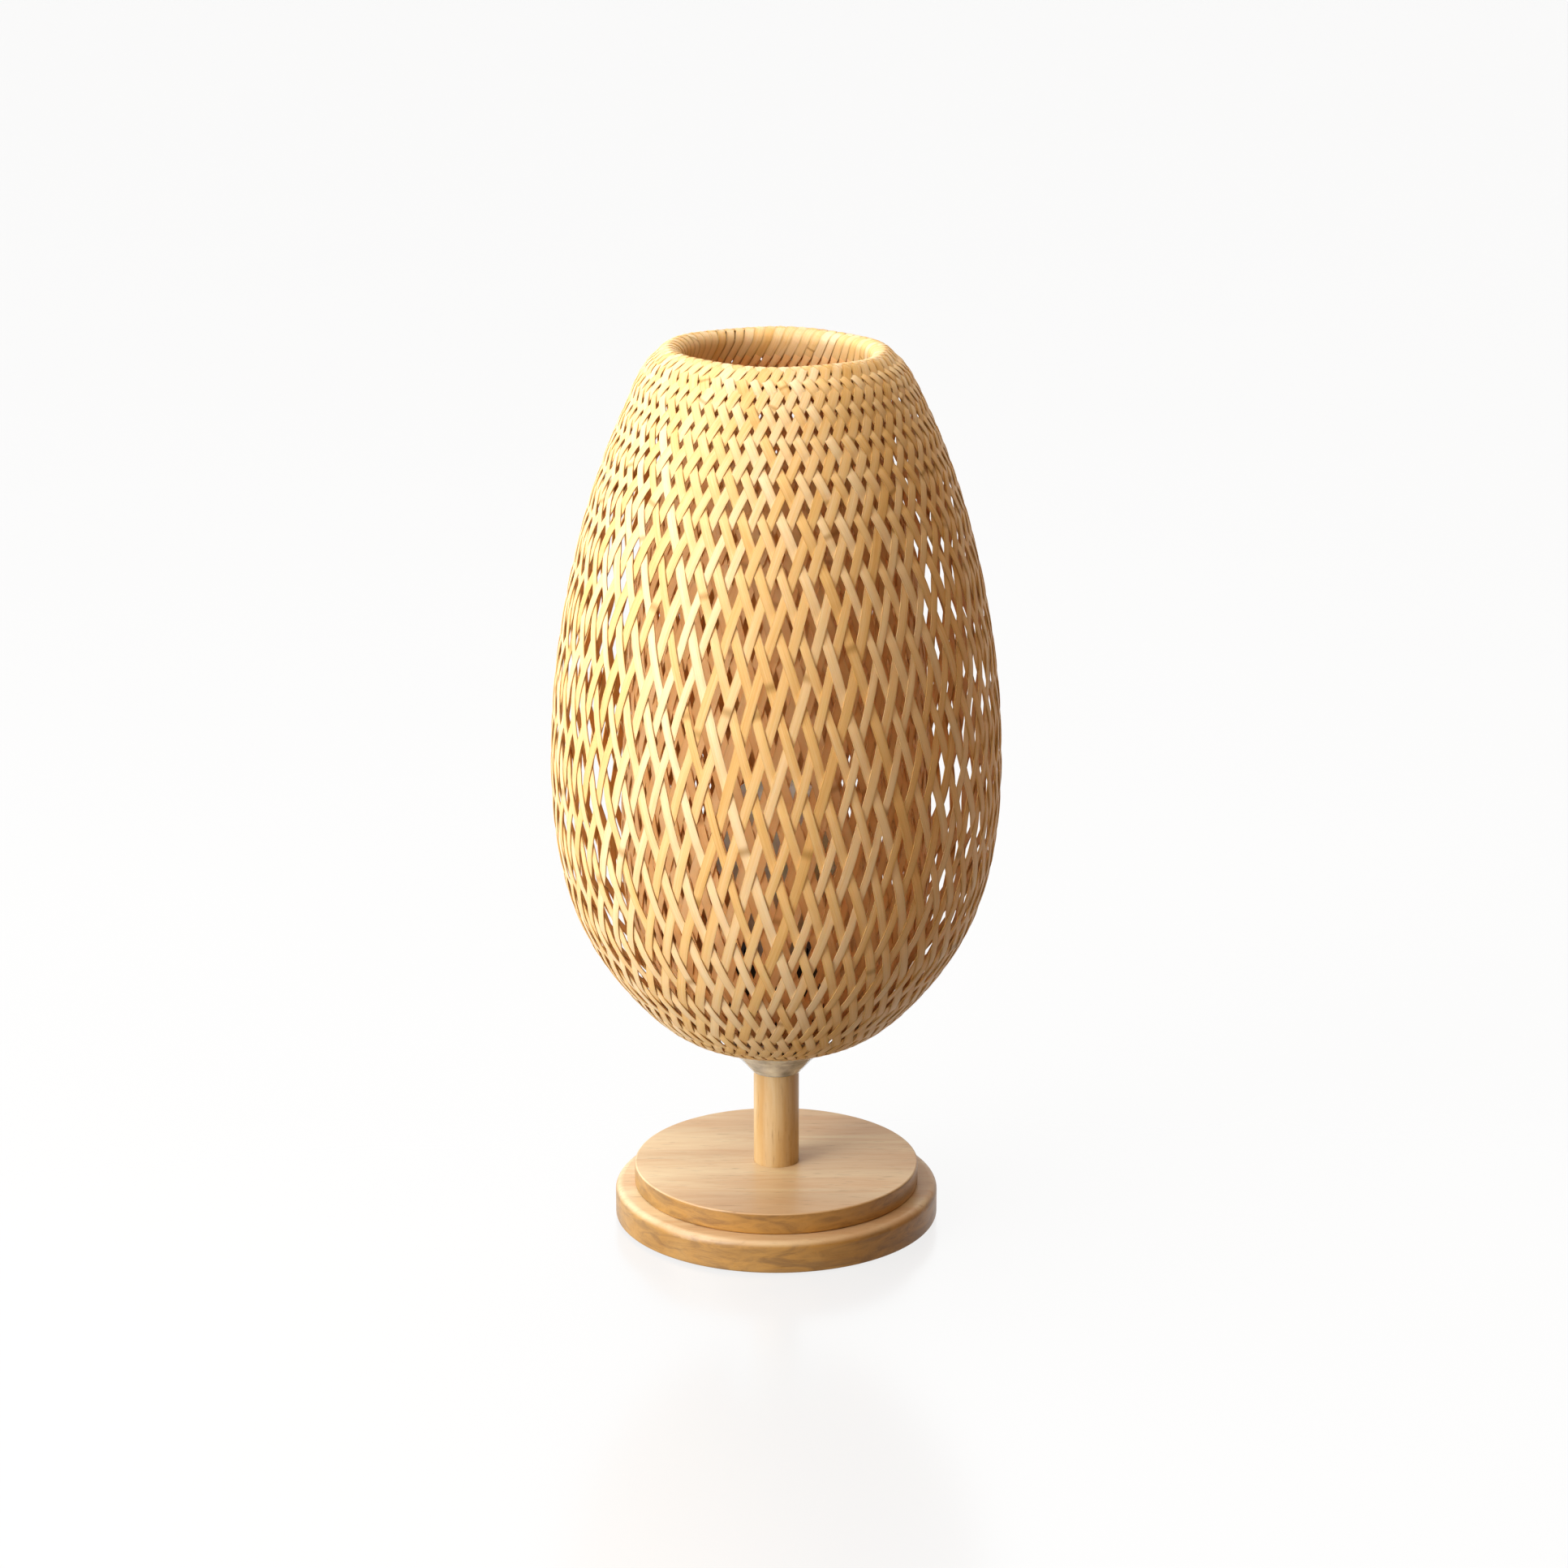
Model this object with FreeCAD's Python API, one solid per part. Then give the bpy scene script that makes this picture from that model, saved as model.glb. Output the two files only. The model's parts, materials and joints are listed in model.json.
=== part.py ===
import FreeCAD, Part
import math
import os

# Table lamp with a double-layer woven bamboo shade on a turned wooden foot.
# Millimetres. The origin is the centre of the underside, +Z is up, and the cord inlet
# is at the back, on +Y. Everything is turned about Z unless its function says otherwise.

V = FreeCAD.Vector
ORIGIN = V(0, 0, 0)
Y_AXIS = V(0, 1, 0)
Z_AXIS = V(0, 0, 1)

# Fits
slip = 0.1              # radial gap between turned pieces of one body
running = 0.08          # radial gap of the shade ring on its thread
rod_play = 0.3          # radial gap between the rod and the holes it passes through
bulb_play = 0.35        # radial gap between the bulb's cap and the screw shell
layer_gap = 0.3         # least gap between the woven layers and what they lie against

# Foot: a felt pad under two stacked discs
pad_h = 1.0
pad_inset = 5.0         # pad edge inside the edge of the lower disc
lower_r = 75.0
lower_h = 15.0
lower_top_round = 3.5
lower_bottom_round = 1.0
ledge = 9.0             # step from the lower disc's edge to the upper disc
upper_h = 10.0
upper_top_round = 0.9
pocket_r = 20.0         # nut pocket in the underside
pocket_depth = 10.5
stem_socket_depth = 3.0

# Cord inlet at the back of the lower disc
cord_play = 0.3         # radial gap that the drilled hole adds to the grommet's bore
grommet_bore_r = 3.3
grommet_wall = 0.8
grommet_length = 10.0
grommet_flange_wall = 1.6
grommet_flange_h = 1.2
inlet_height = 6.6      # above the underside of the lower disc

# Stem and the hollow rod that clamps foot, stem and collar together
rod_r = 5.0
rod_bore_r = 3.5
rod_tail = 1.5          # thread showing past the bottom nut
stem_r = 10.5
stem_visible_h = 45.2
washer_r = 12.0
washer_h = 1.5
nut_across_flats = 14.0
nut_h = 4.0

# Collar: a thin sheet-metal cone
collar_overhang = 1.0   # collar's foot beyond the stem
collar_h = 15.1
sheet = 0.8

# Lampholder
holder_wall = 2.0
boss_r = 8.0
boss_h = 3.0
rod_grip = 4.0          # length of rod screwed into the boss
dome_h = 6.5
cap_step = 0.7          # lampholder's cap inside the barrel's thread
holder_cap_h = 22.0
insert_ledge = 1.5
insert_h = 8.0
flange_step = 3.8
flange_h = 2.0
barrel_wall = 5.65
barrel_h = 31.0         # including the flange
mouth_depth = 3.0
mouth_play = 0.95       # radial gap between the barrel's mouth and the bulb's neck
shell_wall = 0.5
shell_h = 27.0
contact_strip = 0.5
contact_width = 6.0
contact_length = 13.0
contact_foot_length = 10.0
contact_height = 5.0
terminal_spacing = 18.0
terminal_head_r = 2.6
terminal_head_h = 1.4
terminal_shank_r = 1.4
terminal_shank_h = 1.7

# Shade ring and the wire-and-plate carrier that it clamps
ring_wall = 5.3
ring_h = 6.0
ring_grips = 20
ring_grip_r = 1.1
plate_h = 1.2
plate_play = 0.4
wire_r = 1.5
post_r = 1.2
post_gap = 2.1          # between the barrel's flange and the posts outside it
hoop_overhang = 1.8     # hoop's centre line outside the hole in the shade
hoop_rise = 4.9         # hoop centre above the bottom edge of the shade
posts = 3

# Shade: an egg-shaped outer layer, a slimmer sleeve inside it and a rounded lip
shade_gap = 0.2         # above the collar's rim
belly_r = 101.7
belly_rise = 128.5      # belly above the bottom edge
outer_wall = 2.2
# Share of the height and share of the widening, from hole to belly
outer_swell = [(0.058, 0.283), (0.198, 0.545), (0.455, 0.831)]
# Share of the height and share of the width kept, from belly to the lip
outer_taper = [(0.446, 0.830), (0.762, 0.486), (0.924, 0.205), (0.961, 0.121)]
sleeve_wall = 1.6
sleeve_belly_r = 71.0
sleeve_belly_rise = 108.5
sleeve_swell = [(0.085, 0.36), (0.317, 0.74), (0.63, 0.97)]
sleeve_taper = [(0.20, 0.95), (0.57, 0.66), (0.76, 0.33)]
rim_r = 47.0            # radius of the centre line of the rounded lip
rim_bead_r = 3.4
rim_rise = 318.4        # centre line above the bottom edge
rim_core_r = 2.2
outer_tuck = -5.0       # degrees below the lip's centre line where the outer layer ends
sleeve_tuck = 110.0     # the same for the sleeve, measured round under the lip

# Bulb: a 60 mm lamp with an opal globe
tip_r = 4.2
tip_h = 1.2
insulator_foot_r = 6.0
insulator_top_r = 10.5
insulator_h = 3.8
bulb_cap_r = 13.1
bulb_cap_h = 20.0
bulb_cap_cone_h = 2.5
bulb_cap_wall = 0.4
neck_step = 0.8         # bulb's neck outside its screw cap
housing_neck_h = 4.0
housing_top_r = 24.0
housing_h = 36.0
housing_wall = 1.5
globe_r = 30.0
globe_wall = 1.2
board_h = 1.6
board_drop = 3.0        # top of the board below the housing's mouth
board_play = 0.4
chip_count = 12
chip_ring_r = 14.0
chip_size = 3.0
chip_h = 0.7
driver_width = 16.0
driver_thickness = 1.6
driver_rise = 5.0       # above the bottom of the screw cap

# Heights, from the table up
lower_z = pad_h
upper_z = lower_z + lower_h
foot_top_z = upper_z + upper_h
collar_z = foot_top_z + stem_visible_h
collar_rim_z = collar_z + collar_h
collar_nut_z = collar_z + sheet
boss_z = collar_nut_z + nut_h
flange_z = boss_z + holder_cap_h
plate_z = flange_z + flange_h
ring_z = plate_z + plate_h
barrel_top_z = flange_z + barrel_h
insert_z = flange_z - insert_h
pocket_top_z = lower_z + pocket_depth
rod_bottom_z = pocket_top_z - washer_h - nut_h - rod_tail
rod_top_z = boss_z + rod_grip
inlet_z = lower_z + inlet_height
shade_z = collar_rim_z + shade_gap
tip_z = flange_z + contact_height
insulator_z = tip_z + tip_h
bulb_cap_z = insulator_z + insulator_h
housing_z = bulb_cap_z + bulb_cap_h
globe_z = housing_z + housing_h
board_top_z = globe_z - board_drop
board_z = board_top_z - board_h

# Radii that follow from the fits
pad_r = lower_r - pad_inset
upper_r = lower_r - ledge
rod_hole_r = rod_r + rod_play
housing_neck_r = bulb_cap_r + neck_step
shell_r = bulb_cap_r + bulb_play + shell_wall
barrel_bore_r = shell_r + slip
barrel_r = barrel_bore_r + barrel_wall
holder_r = barrel_r - cap_step
flange_r = barrel_r + flange_step
hoop_r = flange_r + post_gap + post_r
shade_hole_r = hoop_r - hoop_overhang
collar_rim_r = shade_hole_r
collar_foot_r = stem_r + collar_overhang
cord_hole_r = grommet_bore_r + cord_play
grommet_r = grommet_bore_r + grommet_wall
grommet_flange_r = grommet_bore_r + grommet_flange_wall
plate_r = hoop_r + wire_r
sleeve_foot_r = plate_r + layer_gap + sleeve_wall
sleeve_foot_rise = hoop_rise + wire_r


def cylinder(radius, z0, z1):
    return Part.makeCylinder(radius, z1 - z0, V(0, 0, z0))


def tube(outer, inner, z0, z1):
    return cylinder(outer, z0, z1).cut(cylinder(inner, z0, z1))


def along_y(radius, y0, y1, z):
    return Part.makeCylinder(radius, y1 - y0, V(0, y0, z), Y_AXIS)


def box_on_axis(width, depth, height, z):
    return Part.makeBox(width, depth, height, V(-width / 2, -depth / 2, z))


def turn(edges):
    return Part.Face(Part.Wire(edges)).revolve(ORIGIN, Z_AXIS, 360)


def lines(points):
    return [Part.LineSegment(a, b).toShape() for a, b in zip(points, points[1:])]


def turned(outline):
    points = [V(r, 0, z) for r, z in outline]
    return turn(lines(points + points[:1]))


def quarter_arc(start, end, centre, radius):
    middle = (start + end) * 0.5 - centre
    middle.normalize()
    return Part.Arc(start, centre + middle * radius, end).toShape()


def rounded_disc(radius, z0, z1, bottom_round, top_round):
    low_in = V(radius - bottom_round, 0, z0)
    low_out = V(radius, 0, z0 + bottom_round)
    high_out = V(radius, 0, z1 - top_round)
    high_in = V(radius - top_round, 0, z1)
    low_centre = V(radius - bottom_round, 0, z0 + bottom_round)
    high_centre = V(radius - top_round, 0, z1 - top_round)
    edges = lines([V(0, 0, z1), V(0, 0, z0), low_in])
    edges.append(quarter_arc(low_in, low_out, low_centre, bottom_round))
    edges += lines([low_out, high_out])
    edges.append(quarter_arc(high_out, high_in, high_centre, top_round))
    edges += lines([high_in, V(0, 0, z1)])
    return turn(edges)


def hexagon_nut(z0):
    corner_r = nut_across_flats / math.sqrt(3)
    corners = []
    for i in range(7):
        angle = math.radians(60 * i)
        corners.append(V(corner_r * math.cos(angle), corner_r * math.sin(angle), z0))
    face = Part.Face(Part.makePolygon(corners))
    prism = face.extrude(V(0, 0, nut_h))
    return prism.cut(cylinder(rod_r + running, z0, z0 + nut_h))


def egg_outline(foot, belly, top, swell, taper):
    foot_r, foot_z = foot
    wide_r, wide_z = belly
    top_r, top_z = top
    outline = [foot]
    for rise, widening in swell:
        outline.append((foot_r + (wide_r - foot_r) * widening, foot_z + (wide_z - foot_z) * rise))
    outline.append(belly)
    for rise, kept in taper:
        outline.append((top_r + (wide_r - top_r) * kept, wide_z + (top_z - wide_z) * rise))
    outline.append(top)
    return outline


def spline(points):
    curve = Part.BSplineCurve()
    curve.interpolate(points)
    return curve


def turned_wall(outline, wall):
    # A curved wall: the outline is its outer face, and the inner face lies one wall inside.
    outer_points = [V(r, 0, z) for r, z in outline]
    outer = spline(outer_points)
    inner_points = []
    for point in outer_points:
        direction = outer.tangent(outer.parameter(point))[0]
        inward = V(-direction.z, 0, direction.x)
        inner_points.append(point + inward * wall)
    inner = spline(inner_points)
    top_edge = Part.LineSegment(outer_points[-1], inner_points[-1]).toShape()
    foot_edge = Part.LineSegment(inner_points[0], outer_points[0]).toShape()
    return turn([outer.toShape(), top_edge, inner.toShape(), foot_edge])


def felt_pad():
    return cylinder(pad_r, 0, pad_h)


def base_lower_disc():
    disc = rounded_disc(lower_r, lower_z, upper_z, lower_bottom_round, lower_top_round)
    disc = disc.cut(cylinder(pocket_r, lower_z, pocket_top_z))
    disc = disc.cut(cylinder(rod_hole_r, pocket_top_z, upper_z))
    disc = disc.cut(along_y(cord_hole_r, 0, lower_r, inlet_z))
    disc = disc.cut(along_y(grommet_r + slip, grommet_y(), lower_r, inlet_z))
    return disc.cut(along_y(grommet_flange_r + slip, flange_seat_y(), lower_r, inlet_z))


def flange_seat_y():
    # The flange's seat is the chord where its edge meets the round side of the disc.
    return math.sqrt(lower_r**2 - (grommet_flange_r + slip) ** 2) - grommet_flange_h / 2


def grommet_y():
    return flange_seat_y() - grommet_length + grommet_flange_h


def cord_grommet():
    seat_y = flange_seat_y()
    body = along_y(grommet_r, grommet_y(), seat_y, inlet_z)
    flange = along_y(grommet_flange_r, seat_y, seat_y + grommet_flange_h, inlet_z)
    bore = along_y(grommet_bore_r, grommet_y(), seat_y + grommet_flange_h, inlet_z)
    return body.fuse(flange).cut(bore).removeSplitter()


def base_upper_disc():
    disc = rounded_disc(upper_r, upper_z, foot_top_z, upper_top_round, upper_top_round)
    disc = disc.cut(cylinder(stem_r + slip, foot_top_z - stem_socket_depth, foot_top_z))
    return disc.cut(cylinder(rod_hole_r, upper_z, foot_top_z))


def rod_washer():
    return tube(washer_r, rod_hole_r, pocket_top_z - washer_h, pocket_top_z)


def rod_nut():
    return hexagon_nut(pocket_top_z - washer_h - nut_h)


def threaded_rod():
    return tube(rod_r, rod_bore_r, rod_bottom_z, rod_top_z)


def stem():
    return tube(stem_r, rod_hole_r, foot_top_z - stem_socket_depth, collar_z)


def collar_cup():
    slope = (collar_rim_r - collar_foot_r) / collar_h
    wall = sheet * math.hypot(1, slope)
    floor_z = collar_z + sheet
    return turned([
        (rod_hole_r, collar_z),
        (collar_foot_r, collar_z),
        (collar_rim_r, collar_rim_z),
        (collar_rim_r - wall, collar_rim_z),
        (collar_foot_r + slope * sheet - wall, floor_z),
        (rod_hole_r, floor_z),
    ])


def collar_nut():
    return hexagon_nut(collar_nut_z)


def lampholder_cap():
    dome_z = boss_z + boss_h
    side_z = dome_z + dome_h
    rod_seat_r = rod_r + running
    inner_r = holder_r - holder_wall
    ledge_r = inner_r - insert_ledge
    return turned([
        (rod_seat_r, boss_z),
        (boss_r, boss_z),
        (boss_r, dome_z),
        (holder_r, side_z),
        (holder_r, flange_z),
        (inner_r, flange_z),
        (inner_r, insert_z),
        (ledge_r, insert_z),
        (ledge_r, side_z),
        (boss_r, dome_z + holder_wall),
        (rod_seat_r, dome_z + holder_wall),
    ])


def terminal_places():
    return [V(side * terminal_spacing / 2, 0, insert_z) for side in (-1, 1)]


def lampholder_insert():
    insert = cylinder(holder_r - holder_wall - slip, insert_z, flange_z)
    for place in terminal_places():
        insert = insert.cut(Part.makeCylinder(terminal_shank_r + slip, terminal_shank_h, place))
    return insert


def terminal_screws():
    screws = []
    for place in terminal_places():
        shank = Part.makeCylinder(terminal_shank_r, terminal_shank_h, place)
        head_place = place - V(0, 0, terminal_head_h)
        head = Part.makeCylinder(terminal_head_r, terminal_head_h, head_place)
        screws.append(shank.fuse(head).removeSplitter())
    return Part.makeCompound(screws)


def centre_contact():
    # A strip folded into a C: its foot lies on the insert and its tongue meets the bulb.
    left = -contact_length / 2
    foot_right = left + contact_foot_length
    tongue_right = left + contact_length
    top = tip_z
    floor = flange_z
    profile = [
        (left, floor),
        (foot_right, floor),
        (foot_right, floor + contact_strip),
        (left + contact_strip, floor + contact_strip),
        (left + contact_strip, top - contact_strip),
        (tongue_right, top - contact_strip),
        (tongue_right, top),
        (left, top),
    ]
    corners = [V(x, -contact_width / 2, z) for x, z in profile]
    face = Part.Face(Part.makePolygon(corners + corners[:1]))
    return face.extrude(V(0, contact_width, 0))


def holder_screw_shell():
    return tube(shell_r, shell_r - shell_wall, flange_z, flange_z + shell_h)


def lampholder_barrel():
    mouth_r = housing_neck_r + mouth_play
    mouth_z = barrel_top_z - mouth_depth
    return turned([
        (barrel_bore_r, flange_z),
        (flange_r, flange_z),
        (flange_r, plate_z),
        (barrel_r, plate_z),
        (barrel_r, barrel_top_z),
        (mouth_r, barrel_top_z),
        (mouth_r, mouth_z),
        (barrel_bore_r, mouth_z),
    ])


def shade_ring():
    outer = barrel_r + running + ring_wall
    ring = cylinder(outer, ring_z, ring_z + ring_h)
    for i in range(ring_grips):
        angle = 2 * math.pi * i / ring_grips
        place = V(outer * math.cos(angle), outer * math.sin(angle), ring_z)
        ring = ring.fuse(Part.makeCylinder(ring_grip_r, ring_h, place))
    ring = ring.cut(cylinder(barrel_r + running, ring_z, ring_z + ring_h))
    return ring.removeSplitter()


def shade_fitter():
    # Clamped plate, three welded posts and the hoop that the woven layers are lashed to.
    hoop_z = shade_z + hoop_rise
    fitter = tube(plate_r, barrel_r + plate_play, plate_z, plate_z + plate_h)
    fitter = fitter.fuse(Part.makeTorus(hoop_r, wire_r, V(0, 0, hoop_z)))
    for i in range(posts):
        angle = 2 * math.pi * i / posts + math.pi / 2
        place = V(hoop_r * math.cos(angle), hoop_r * math.sin(angle), hoop_z)
        fitter = fitter.fuse(Part.makeCylinder(post_r, plate_z + plate_h / 2 - hoop_z, place))
    return fitter


def under_rim(distance, tuck):
    # A point this far from the rim's centre line, at an angle measured down from outside.
    angle = math.radians(tuck)
    centre_z = shade_z + rim_rise
    return (rim_r + distance * math.cos(angle), centre_z - distance * math.sin(angle))


def shade_outer():
    foot = (shade_hole_r, shade_z)
    belly = (belly_r, shade_z + belly_rise)
    shoulder = under_rim(rim_bead_r + layer_gap + outer_wall, outer_tuck)
    return turned_wall(egg_outline(foot, belly, shoulder, outer_swell, outer_taper), outer_wall)


def shade_inner():
    foot = (sleeve_foot_r, shade_z + sleeve_foot_rise)
    belly = (sleeve_belly_r, shade_z + sleeve_belly_rise)
    top = under_rim(rim_bead_r + layer_gap, sleeve_tuck)
    return turned_wall(egg_outline(foot, belly, top, sleeve_swell, sleeve_taper), sleeve_wall)


def rim_torus(radius):
    return Part.makeTorus(rim_r, radius, V(0, 0, shade_z + rim_rise))


def shade_rim():
    return rim_torus(rim_bead_r).cut(rim_torus(rim_core_r + slip))


def rim_core():
    return rim_torus(rim_core_r)


def bulb_tip_contact():
    return cylinder(tip_r, tip_z, insulator_z)


def bulb_insulator():
    return turned([
        (0, insulator_z),
        (insulator_foot_r, insulator_z),
        (insulator_top_r, bulb_cap_z),
        (0, bulb_cap_z),
    ])


def bulb_screw_cap():
    side_z = bulb_cap_z + bulb_cap_cone_h
    inner_r = bulb_cap_r - bulb_cap_wall
    return turned([
        (insulator_top_r, bulb_cap_z),
        (bulb_cap_r, side_z),
        (bulb_cap_r, housing_z),
        (inner_r, housing_z),
        (inner_r, side_z),
        (insulator_top_r - bulb_cap_wall, bulb_cap_z),
    ])


def housing_outline():
    neck_top_z = housing_z + housing_neck_h
    middle_r = (housing_neck_r + housing_top_r) / 2
    middle_z = (neck_top_z + globe_z) / 2
    return [V(housing_neck_r, 0, neck_top_z), V(middle_r, 0, middle_z), V(housing_top_r, 0, globe_z)]


def bulb_housing():
    inset = V(housing_wall, 0, 0)
    flare = spline(housing_outline())
    inner_flare = spline([point - inset for point in housing_outline()])
    neck = V(housing_neck_r, 0, housing_z)
    edges = lines([neck - inset, neck, housing_outline()[0]])
    edges.append(flare.toShape())
    edges += lines([housing_outline()[-1], housing_outline()[-1] - inset])
    edges.append(inner_flare.toShape())
    edges += lines([housing_outline()[0] - inset, neck - inset])
    return turn(edges)


def bulb_globe():
    # The globe's cut edge stands on the housing's mouth.
    centre_z = globe_z + math.sqrt(globe_r**2 - housing_top_r**2)
    centre = V(0, 0, centre_z)
    outside = Part.makeSphere(globe_r, centre)
    inside = Part.makeSphere(globe_r - globe_wall, centre)
    below = box_on_axis(4 * globe_r, 4 * globe_r, 2 * globe_r, globe_z - 2 * globe_r)
    return outside.cut(inside).cut(below)


def led_board():
    # The board is as wide as the flaring housing is where its underside comes to rest.
    rise = board_z - housing_z - housing_neck_h
    flare_h = housing_h - housing_neck_h
    inner_r = housing_neck_r - housing_wall + (housing_top_r - housing_neck_r) * rise / flare_h
    return cylinder(inner_r - board_play, board_z, board_top_z)


def led_chips():
    chips = []
    for i in range(chip_count):
        chip = box_on_axis(chip_size, chip_size, chip_h, board_top_z)
        chip.translate(V(chip_ring_r, 0, 0))
        chip.rotate(ORIGIN, Z_AXIS, 360 * i / chip_count)
        chips.append(chip)
    return Part.makeCompound(chips)


def driver_board():
    # It stands in the screw cap and plugs into the underside of the LED board.
    driver_z = bulb_cap_z + driver_rise
    return box_on_axis(driver_width, driver_thickness, board_z - driver_z, driver_z)


PIECES = [
    felt_pad,
    base_lower_disc,
    base_upper_disc,
    cord_grommet,
    rod_washer,
    rod_nut,
    threaded_rod,
    stem,
    collar_cup,
    collar_nut,
    lampholder_cap,
    lampholder_insert,
    terminal_screws,
    centre_contact,
    holder_screw_shell,
    lampholder_barrel,
    shade_ring,
    shade_fitter,
    shade_outer,
    shade_inner,
    shade_rim,
    rim_core,
    bulb_tip_contact,
    bulb_insulator,
    bulb_screw_cap,
    bulb_housing,
    bulb_globe,
    led_board,
    led_chips,
    driver_board,
]

os.makedirs("parts", exist_ok=True)
for piece in PIECES:
    shape = piece()
    if not shape.isValid():
        raise ValueError(piece.__name__ + " is not a valid shape")
    shape.exportStep("parts/" + piece.__name__ + ".step")
    print(piece.__name__, len(shape.Solids), "solid,", round(shape.Volume), "mm3")
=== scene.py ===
# %% [markdown]
# # A table lamp with a woven bamboo shade
#
# This lesson dresses a finished frame: the CAD model of a lamp with a stepped wooden foot, a round stem,
# a bright metal collar and an egg-shaped shade of split bamboo in two layers. The frame already has the
# right sizes and moves as the lamp does, so the lesson only adds what a frame lacks: the weave, and
# finishes that look like wood, chrome and bamboo. The first cell loads the frame.

# %% Load the frame
import json
import math

import bpy
import numpy as np
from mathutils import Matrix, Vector
from mathutils.bvhtree import BVHTree


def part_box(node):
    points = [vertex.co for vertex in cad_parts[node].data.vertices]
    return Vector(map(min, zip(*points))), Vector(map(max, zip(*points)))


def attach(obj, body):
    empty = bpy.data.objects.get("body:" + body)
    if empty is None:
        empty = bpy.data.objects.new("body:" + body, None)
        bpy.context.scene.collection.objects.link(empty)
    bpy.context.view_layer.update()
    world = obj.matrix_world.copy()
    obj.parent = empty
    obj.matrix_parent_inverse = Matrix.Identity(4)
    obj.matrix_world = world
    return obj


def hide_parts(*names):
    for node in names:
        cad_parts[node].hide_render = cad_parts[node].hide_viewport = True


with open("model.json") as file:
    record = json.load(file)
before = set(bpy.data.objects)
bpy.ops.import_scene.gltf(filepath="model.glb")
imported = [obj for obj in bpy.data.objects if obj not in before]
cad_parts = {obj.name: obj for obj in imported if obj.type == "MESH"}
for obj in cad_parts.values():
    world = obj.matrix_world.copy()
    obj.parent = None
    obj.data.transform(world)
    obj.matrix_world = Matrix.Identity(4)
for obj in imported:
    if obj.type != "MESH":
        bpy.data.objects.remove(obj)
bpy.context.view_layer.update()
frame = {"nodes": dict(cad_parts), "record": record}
nodes = frame["nodes"]

# %% [markdown]
# The lamp stands on a pale seamless table that fills the whole view. The camera is a long lens a little
# above the top of the lamp, looking slightly down. It sits exactly in front, so its place needs only a
# distance, a height and a pitch. A long lens keeps the egg shape of the shade free of distortion.

# %% Camera
camera_distance, camera_height, camera_pitch = 1.753, 0.740, 16.85
camera_lens, camera_shift = 92.65, 0.0049
bpy.ops.object.camera_add(location=(0, -camera_distance, camera_height),
                          rotation=(math.radians(90 - camera_pitch), 0, 0))
camera = bpy.context.object
camera.name = "camera"
camera.data.sensor_width = 36
camera.data.lens = camera_lens
camera.data.shift_x = camera_shift
bpy.context.scene.camera = camera
print("lens in mm:", camera.data.lens)

# %% [markdown]
# Light and finishes are small trees of shader nodes. Wiring them one by one is long, so one class stands
# for a node's output: sums written on it add Math nodes, and one method adds any other node. Two more
# methods stand for what comes up most: a ramp between two values, and the three parts of a place or
# direction. Colours go through a Mix node, because a Math node would turn them grey.

# %% A wire to write shader sums with
class Wire:
    """A node's output. Without one it is only the tree, the start of a finish."""

    def __init__(self, tree, out=None):
        self.tree, self.out = tree, out

    def node(self, kind, settings=(), sockets=(), out=0):
        made = self.tree.nodes.new("ShaderNode" + kind)
        for key, value in dict(settings).items():
            if key == "stops":
                ramp = made.color_ramp
                while len(ramp.elements) < len(value):
                    ramp.elements.new(0.5)
                for stop, (place, colour) in zip(ramp.elements, value):
                    stop.position, stop.color = place, (*colour, 1)
            else:
                setattr(made, key, value)
        for key, value in dict(sockets).items():
            if isinstance(value, Wire):
                self.tree.links.new(value.out, made.inputs[key])
            else:
                made.inputs[key].default_value = value
        return Wire(self.tree, made.outputs[out])

    def sum(self, operation, *values):
        return self.node("Math", {"operation": operation}, dict(enumerate(values)))

    def only(self, operation):
        """A sum of this one value, such as its sine."""
        return self.sum(operation, self)

    def ramp(self, start, end, low=0.0, high=1.0, kind="SMOOTHSTEP"):
        """Low where the value is start, high where it is end, and level beyond them."""
        return self.node("MapRange", {"interpolation_type": kind},
                         {0: self, 1: start, 2: end, 3: low, 4: high})

    def split(self):
        """The three parts of a place or direction."""
        parts = self.node("SeparateXYZ", {}, {0: self}).out.node.outputs
        return [Wire(self.tree, part) for part in parts]

    def __abs__(self): return self.only("ABSOLUTE")
    def __add__(self, other): return self.sum("ADD", self, other)
    def __radd__(self, other): return self.sum("ADD", other, self)
    def __sub__(self, other): return self.sum("SUBTRACT", self, other)
    def __rsub__(self, other): return self.sum("SUBTRACT", other, self)
    def __mul__(self, other): return self.sum("MULTIPLY", self, other)
    def __rmul__(self, other): return self.sum("MULTIPLY", other, self)
    def __pow__(self, other): return self.sum("POWER", self, other)


def tint(share, first, second):
    """The first colour where share is 0, the second where it is 1."""
    colours = {key: value if isinstance(value, Wire) else (*value, 1)
               for key, value in ((6, first), (7, second))}
    return share.node("Mix", {"data_type": "RGBA"}, {0: share, **colours}, 2)


# %% [markdown]
# The light is that of a product table: a room of cloth, one large soft panel in front on the left, a
# smaller one above, a weak one low on the left, and nothing hard anywhere. The room is bright and white
# on the left, dim and orange on the right, and dim below, which turns the bamboo from straw to ochre
# across the shade and gives the collar something to reflect. A ready-made picture of a studio could
# light it too, but a plain ramp over the direction is easy to steer. The cloth behind the lamp is as
# bright as the table, and so is all of it where the camera looks straight at it, so that no horizon
# shows.

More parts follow.
